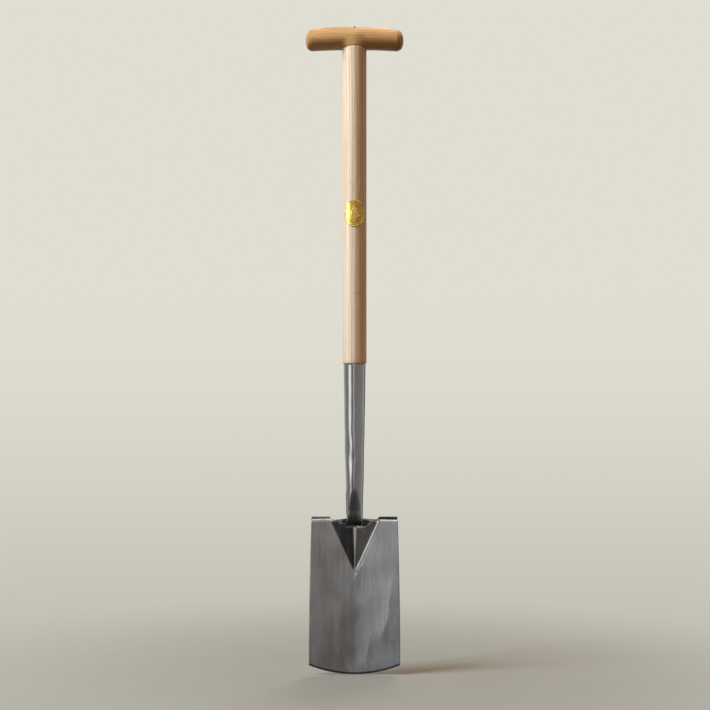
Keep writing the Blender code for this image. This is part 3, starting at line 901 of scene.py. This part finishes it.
def brushed(g, place):
    """(tone 0-1, roughness, height) of satin-ground stainless sheet, brushed up and down."""
    hair = g.noise(place, (5200, 5200, 22), 2.0, 0.6)
    lines = g.noise(place, (900, 900, 9), 3.0, 0.65)
    bands = g.noise(place, (70, 70, 5), 3.0, 0.55)
    clouds = g.noise(place, (26, 26, 13), 3.0, 0.55, 0.4)
    tone = g.math("ADD", g.math("MULTIPLY", bands, 0.45), g.math("MULTIPLY", clouds, 0.55))
    rough = g.math("ADD", g.math("MULTIPLY", lines, 0.5), g.math("MULTIPLY", clouds, 0.5))
    height = g.math("ADD", g.math("MULTIPLY", hair, 0.55), g.math("MULTIPLY", lines, 0.45))
    return tone, rough, height


def buffed_streak(g, place, x, z, foot_x, lean, low, high):
    """A hand-buffed stroke: it fades in from the left and ends sharply at a leaning, wavy line."""
    wave = g.math("MULTIPLY", g.math("SUBTRACT", g.noise(place, (9, 9, 26), 2.0), 0.5), 0.022)
    edge = g.math("ADD", g.math("ADD", foot_x, g.math("MULTIPLY", z, lean)), wave)
    gap = g.math("SUBTRACT", edge, x)
    stroke = g.math("MULTIPLY", g.span(gap, 0.0, 0.0016), g.span(gap, 0.026, 0.002))
    grain = g.noise(place, (620, 620, 34), 3.0, 0.7)
    stroke = g.math("MULTIPLY", stroke, g.span(grain, 0.25, 0.70, 0.35, 1.0))
    ends = g.math("MULTIPLY", g.span(z, low, low + 0.035), g.span(z, high, high - 0.050))
    return g.math("MULTIPLY", stroke, ends)


def gutter_share(g, x, z):
    """1 inside the gutter, 0 on the sheet round it."""
    slope = GUTTER_HALF_WIDTH / (RIM_Z - GUTTER_TIP_Z)
    half = g.math("MULTIPLY", g.math("SUBTRACT", z, GUTTER_TIP_Z), slope)
    inside = g.span(g.math("SUBTRACT", half, g.math("ABSOLUTE", x)), -0.0010, 0.0022)
    return g.math("MULTIPLY", inside, g.span(z, RIM_Z + 0.0015, RIM_Z - 0.0015))


def satin_steel():
    """The blade's stainless sheet: brushed lengthways, clouded, with two hand-buffed strokes."""
    made, g, shader = new_material("satin_stainless", (0.36, 0.36, 0.37))
    place = g.place()
    x, _, z = g.axes(place)
    tone, rough, height = brushed(g, place)
    long_stroke = buffed_streak(g, place, x, z, 0.034, 0.21, 0.048, 0.190)
    short_stroke = buffed_streak(g, place, x, z, 0.012, 0.28, 0.002, 0.098)
    buffed = g.math("MAXIMUM", long_stroke, g.math("MULTIPLY", short_stroke, 0.8))
    steel = g.mix(g.span(tone, 0.40, 0.60), (0.45, 0.438, 0.424), (0.63, 0.63, 0.64))
    steel = g.mix(g.math("MULTIPLY", buffed, 0.95), steel, (0.97, 0.95, 0.92))
    gutter = gutter_share(g, x, z)
    # Painted shade: the gutter's recess is darker in the base colour.
    steel = g.mix(g.math("MULTIPLY", gutter, 0.30), steel, (0.30, 0.28, 0.26))
    g.put(shader["Base Color"], steel)
    dull = g.math("SUBTRACT", g.span(rough, 0.30, 0.70, 0.16, 0.26), g.math("MULTIPLY", gutter, 0.08))
    g.put(shader["Roughness"], g.math("ADD", dull, g.math("MULTIPLY", buffed, 0.08)))
    g.put(shader["Normal"], g.bump(height, 0.000012))
    shader["Metallic"].default_value = 1.0
    return made


def bright_steel():
    """The socket's polished steel, with painted shade that darkens it at the nose's end."""
    made, g, shader = new_material("polished_stainless", (0.48, 0.48, 0.48))
    place = g.place()
    z = g.axes(place)[2]
    tone, rough, height = brushed(g, place)
    steel = g.mix(g.span(tone, 0.34, 0.66), (0.46, 0.452, 0.445), (0.53, 0.53, 0.53))
    # Painted shade: the base colour darkens at the nose's end, round the gutter's rim.
    end = g.math("MULTIPLY", g.span(z, RIM_Z + 0.004, RIM_Z - 0.004), 0.75)
    g.put(shader["Base Color"], g.mix(end, steel, (0.11, 0.105, 0.10)))
    g.put(shader["Roughness"], g.span(rough, 0.30, 0.70, 0.13, 0.21))
    g.put(shader["Normal"], g.bump(height, 0.000005))
    shader["Metallic"].default_value = 1.0
    return made


def weld_steel():
    """The ground weld bead, a little greyer than the sheet."""
    made, g, shader = new_material("ground_weld", (0.34, 0.33, 0.32))
    place = g.place()
    grit = g.noise(place, (1400, 1400, 1400), 3.0, 0.6)
    clouds = g.noise(place, (160, 160, 160), 3.0)
    tone = g.mix(g.span(clouds, 0.35, 0.65), (0.33, 0.32, 0.31), (0.50, 0.49, 0.48))
    g.put(shader["Base Color"], tone)
    g.put(shader["Roughness"], g.span(grit, 0.3, 0.7, 0.20, 0.36))
    g.put(shader["Normal"], g.bump(grit, 0.00003))
    shader["Metallic"].default_value = 1.0
    return made


def brass(name, shade, dull):
    """Lacquered gilt brass, lightly dented, browner in its hollows. shade darkens it all."""

    def shaded(red, green, blue):
        return red * shade, green * shade, blue * shade

    made, g, shader = new_material(name, shaded(0.70, 0.48, 0.14))
    place = g.place()
    x, y, _ = g.axes(place)
    field = hi("shaft").x + 0.00053
    hollow = g.span(g.hypot(x, y), field + 0.00014, field - 0.00002)
    grain = g.noise(place, (2400, 2400, 2400), 3.0, 0.6)
    clouds = g.noise(place, (190, 190, 190), 3.0)
    dents = g.noise(place, (520, 520, 520), 2.0, 0.6)
    tone = g.mix(g.span(clouds, 0.3, 0.7), shaded(1.0, 0.66, 0.16), shaded(0.97, 0.54, 0.07))
    patina = g.math("MULTIPLY", hollow, g.span(grain, 0.25, 0.65, 0.45, 0.95))
    tone = g.mix(g.math("MULTIPLY", patina, 0.35), tone, shaded(0.40, 0.18, 0.02))
    g.put(shader["Base Color"], tone)
    g.put(shader["Roughness"], g.span(grain, 0.3, 0.7, dull, dull + 0.14))
    relief = g.math("ADD", g.math("MULTIPLY", dents, 0.85), g.math("MULTIPLY", grain, 0.15))
    g.put(shader["Normal"], g.bump(relief, 0.00035))
    shader["Metallic"].default_value = 1.0
    shader["Coat Weight"].default_value = 0.8
    shader["Coat Roughness"].default_value = 0.15
    return made


# ---------------------------------------------------------------- studio


CAMERA_AT = (0.00085, -2.8, 0.5376)
LIGHT_DISTANCE = 2.4
LIGHT_AIM_Z = 0.6


def build_camera():
    """A level camera square in front of the spade."""
    camera = bpy.data.cameras.new("camera")
    camera.lens = 84.0
    camera.sensor_width = 36.0
    obj = bpy.data.objects.new("camera", camera)
    bpy.context.scene.collection.objects.link(obj)
    obj.location = CAMERA_AT
    obj.rotation_euler = (math.radians(90), 0, 0)
    bpy.context.scene.camera = obj


def area_light(name, azimuth, elevation, size, power, colour):
    """A soft box aimed at the spade's middle. Azimuth 0 is the camera's side, and grows towards +X."""
    light = bpy.data.lights.new(name, "AREA")
    light.shape = "RECTANGLE"
    light.size, light.size_y = size
    light.energy = power
    light.color = colour
    obj = bpy.data.objects.new(name, light)
    bpy.context.scene.collection.objects.link(obj)
    a, e = math.radians(azimuth), math.radians(elevation)
    away = Vector((math.sin(a) * math.cos(e), -math.cos(a) * math.cos(e), math.sin(e)))
    obj.location = Vector((0, 0, LIGHT_AIM_Z)) + away * LIGHT_DISTANCE
    obj.rotation_euler = away.to_track_quat("Z", "Y").to_euler()
    return obj


def build_lights():
    """A high key from the left and one behind, which metal doesn't mirror, and a low side light.

    The side light falls on the shaft and the badge alone.
    """
    key = area_light("key", -66, 50, (0.8, 0.8), 60, (0.91, 0.98, 1.0))
    rear = area_light("rear", 165, 35, (1.2, 1.2), 22, (1.0, 0.98, 0.95))
    for light in (key, rear):
        light.visible_glossy = False
    side = area_light("side", -68, 6, (1.0, 1.4), 34, (0.62, 0.86, 1.0))
    lit = bpy.data.collections.new("side_lit")
    for name in ("shaft_round", "badge_plate"):
        lit.objects.link(bpy.data.objects[name])
    side.light_linking.receiver_collection = lit


# What metal mirrors, as rings from the ground up. Each has the elevations that it fades in over and
# its levels around: (degrees from the camera's side towards +X, brightness, warmth).
BRIGHTEST = 2.0
RINGS = [
    (None, [(-180, 0.04, 0), (180, 0.04, 0)]),
    ((-64, -48), [
        (-180, 0.45, 0), (-120, 0.30, 0), (-78, 0.04, 0), (2, 0.03, 0), (20, 0.07, 0.05),
        (75, 0.12, 0.05), (120, 0.34, 0), (180, 0.40, 0),
    ]),
    ((-13.2, -11.2), [
        (-180, 0.60, 0), (-150, 0.60, 0), (-112, 0.34, 0), (-62, 0.10, 0), (-24, 0.04, 0),
        (-14, 0.15, -0.02), (-4, 0.18, 0.02), (3, 0.20, 0.05), (60, 0.26, 0.05),
        (104, 0.34, 0), (132, 0.45, 0), (146, 0.08, 0), (180, 0.06, 0),
    ]),
    ((-8.5, -7.0), [
        (-180, 0.75, 0), (-148, 0.70, 0), (-112, 0.40, 0), (-88, 0.28, 0), (-74, 0.22, 0),
        (-62, 1.15, 0), (-51, 1.80, 0), (-41, 1.45, 0), (-31, 0.15, 0), (-19, 0.13, -0.02),
        (-13, 0.76, -0.03), (-4, 0.64, -0.02), (2, 0.26, 0.05), (22, 0.28, 0.06),
        (74, 0.30, 0.06), (104, 0.38, 0), (124, 0.60, 0), (134, 0.50, 0), (146, 0.08, 0),
        (180, 0.06, 0),
    ]),
    ((9.5, 13), [
        (-180, 0.75, 0), (-140, 0.66, 0), (-104, 0.15, 0.06), (-62, 0.10, 0.08),
        (-44, 0.10, 0.03), (-30, 0.50, 0), (-14, 0.66, 0), (12, 0.62, 0), (21, 0.45, 0),
        (30, 0.05, 0), (58, 0.02, 0), (92, 0.06, 0), (120, 0.20, 0), (150, 0.45, 0),
        (180, 0.50, 0),
    ]),
    ((26, 34), [
        (-180, 0.15, 0), (-110, 0.12, 0), (-62, 0.14, 0), (-28, 0.70, 0), (-14, 1.8, 0),
        (-3, 1.7, 0), (6, 0.25, 0), (30, 0.20, 0), (48, 1.7, 0), (179, 1.7, 0),
    ]),
]


def ring_stops(levels):
    stops = []
    for degrees, level, warm in levels:
        share = level / BRIGHTEST
        stops.append((degrees / 360 + 0.5, (share * (1 + warm), share, share * (1 - 1.6 * warm))))
    return stops


def build_world():
    """Pale for the camera; for what mirrors, a studio whose brightness changes with direction."""
    world = bpy.data.worlds.new("studio")
    bpy.context.scene.world = world
    world.use_nodes = True
    world.cycles.sampling_method = "NONE"
    g = Graph(world.node_tree)
    direction = g.node("ShaderNodeTexCoord", {}).outputs["Generated"]
    x, y, z = g.node("ShaderNodeSeparateXYZ", {0: direction}).outputs
    azimuth = g.math("ARCTAN2", x, g.math("MULTIPLY", y, -1.0))
    around = g.math("ADD", g.math("MULTIPLY", azimuth, 1 / (2 * math.pi)), 0.5)
    mirrored = None
    for fade, levels in RINGS:
        ring = g.ramp(around, ring_stops(levels))
        if fade is None:
            mirrored = ring
            continue
        low, high = (math.sin(math.radians(degrees)) for degrees in fade)
        mirrored = g.mix(g.span(z, low, high), mirrored, ring)
    mirrored = g.mix(1.0, mirrored, (BRIGHTEST,) * 3, "MULTIPLY")
    ambient = g.mix(g.span(z, -0.5, 0.6), (0.03, 0.017, 0.010), (0.52, 0.30, 0.165))
    backdrop = g.mix(g.span(z, -0.26, 0.04), (0.47, 0.458, 0.40), (0.745, 0.73, 0.65))
    kind = g.node("ShaderNodeLightPath", {}).outputs
    unseen = g.mix(kind["Is Glossy Ray"], ambient, mirrored)
    seen = g.mix(kind["Is Camera Ray"], unseen, backdrop)
    g.put(world.node_tree.nodes["Background"].inputs["Color"], seen)


def build_floor():
    """A pale round floor that fades into the background."""
    steps, radius = 96, 1.6
    level = CAD_BOX[0][2] - 0.0005
    verts = [(0, 0, level)]
    for i in range(steps):
        turn = 2 * math.pi * i / steps
        verts.append((radius * math.cos(turn), radius * math.sin(turn), level))
    mesh = bpy.data.meshes.new("floor")
    mesh.from_pydata(verts, [], [(0, 1 + i, 1 + (i + 1) % steps) for i in range(steps)])
    obj = bpy.data.objects.new("floor", mesh)
    bpy.context.scene.collection.objects.link(obj)
    made, g, shader = new_material("pale_floor", (0.7, 0.68, 0.6))
    place = g.place()
    x, y, _ = g.axes(place)
    away = g.hypot(x, y)
    grain = g.noise(place, (9, 9, 9), 3.0)
    g.put(shader["Base Color"], g.mix(grain, (0.30, 0.325, 0.315), (0.33, 0.355, 0.34)))
    shader["Roughness"].default_value = 0.9
    shader["Specular IOR Level"].default_value = 0.1
    g.put(shader["Alpha"], g.span(away, 0.10, 0.95, 1.0, 0.0))
    mesh.materials.append(made)
    obj.visible_glossy = False


def build_cards():
    """Cards behind the spade that only its metal mirrors: dark grey on the left, darker on the right."""
    back, foot = 0.055, 0.262
    left, right = (-0.080, -0.026, foot, 0.300), (0.004, 0.080, foot, 0.540)
    corners = []
    for x0, x1, z0, z1 in (left, right):
        corners += [(x0, back, z0), (x1, back, z0), (x1, back, z1), (x0, back, z1)]
    mesh = bpy.data.meshes.new("shadow_cards")
    mesh.from_pydata(corners, [], [(0, 1, 2, 3), (4, 5, 6, 7)])
    obj = bpy.data.objects.new("shadow_cards", mesh)
    bpy.context.scene.collection.objects.link(obj)
    made, g, shader = new_material("card_grey", (0.02, 0.02, 0.02))
    x = g.axes(g.place())[0]
    shader["Base Color"].default_value = (0.01, 0.01, 0.01, 1.0)
    shader["Specular IOR Level"].default_value = 0.0
    shader["Emission Strength"].default_value = 1.0
    # Painted reflection of shadow: the cards glow dim grey, darker on the right.
    tone = g.mix(g.span(x, -0.020, 0.0), (0.10, 0.095, 0.083), (0.035, 0.035, 0.033))
    g.put(shader["Emission Color"], tone)
    mesh.materials.append(made)
    obj.visible_camera = False
    obj.visible_diffuse = False
    obj.visible_shadow = False
    obj.visible_transmission = False


def main():
    blade_steel, socket_steel, wood, bar_wood = satin_steel(), bright_steel(), ash(), cherry()
    build_blade(blade_steel)
    build_socket(socket_steel)
    build_weld(weld_steel())
    build_rivet(socket_steel)
    build_shaft(wood)
    build_tenon_end(wood)
    build_grip(bar_wood)
    build_wedge(dark_hardwood())
    build_badge(brass("gilt_brass", 1.0, 0.28))
    pin_brass = brass("pin_brass", 0.08, 0.40)
    build_badge_pin("badge_pin_head_left", "badge_pin_left", -PIN_ANGLE, pin_brass)
    build_badge_pin("badge_pin_head_right", "badge_pin_right", PIN_ANGLE, pin_brass)
    build_camera()
    build_lights()
    build_world()
    build_floor()
    build_cards()
    bpy.context.scene.view_settings.view_transform = "Standard"
    bpy.context.view_layer.update()


main()
